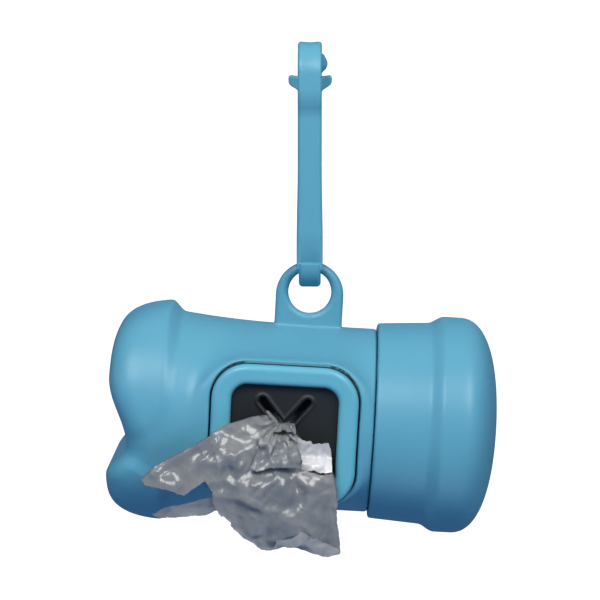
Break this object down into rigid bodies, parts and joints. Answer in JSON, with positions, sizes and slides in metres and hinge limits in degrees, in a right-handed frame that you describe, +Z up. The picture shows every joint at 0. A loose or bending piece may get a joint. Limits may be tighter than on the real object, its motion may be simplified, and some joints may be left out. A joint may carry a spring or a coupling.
{
  "type": "dog waste bag dispenser",
  "caption": "Bone shaped waste bag dispenser with a pull off end cap, a rubber cross slit window and a flexible snap hook.",
  "frame": {"origin": "inner surface of the hook's crown, where the strap, loop or ring that carries the dispenser bears", "axes": "+Z up along the hanging hook, +X to the right along the body, -Y towards the window and the viewer"},
  "size_m": [0.0872, 0.0546, 0.1105],
  "materials": {
    "blue_hook": "satin",
    "blue_body": "satin",
    "blue_bezel": "satin gloss",
    "black_rubber": "matte",
    "cardboard": "matte",
    "film_roll": "gloss",
    "bag_film": "gloss"
  },
  "bodies": {
    "hook": {"hook_frame": "blue_hook"},
    "gate": {"hook_gate": "blue_hook"},
    "dispenser": {"body_shell": "blue_body", "slit_membrane": "black_rubber", "window_bezel": "blue_bezel"},
    "cap": {"end_cap": "blue_body"},
    "roll": {"roll_core": "cardboard", "bag_roll": "film_roll"},
    "drawn_bag": {"dispensed_bag": "bag_film"}
  },
  "joints": [
    {"name": "dispenser_swing", "type": "hinge", "parent": "hook", "child": "dispenser", "pos_m": [0, 0, -0.0459], "axis": [1, 0, 0], "range_deg": [-90, 90]},
    {"name": "gate_press", "type": "hinge", "parent": "hook", "child": "gate", "pos_m": [0, 0.0043, -0.0459], "axis": [1, 0, 0], "range_deg": [0, 9], "stiffness_Nm_per_rad": 0.5},
    {"name": "cap_pull", "type": "slide", "parent": "dispenser", "child": "cap", "axis": [0.9985, 0, -0.0541], "range_m": [0, 0.04]},
    {"name": "roll_spin", "type": "hinge", "parent": "dispenser", "child": "roll", "pos_m": [-0.00326, 0, -0.08355], "axis": [0.9985, 0, -0.0541], "range_deg": [0, 222]},
    {"name": "bag_draw", "type": "slide", "parent": "dispenser", "child": "drawn_bag", "axis": [0, -1, 0], "range_m": [0, 0.061]}
  ],
  "couplings": [
    {"joint": "bag_draw", "follows": "roll_spin", "m_per_rad": 0.0157}
  ]
}
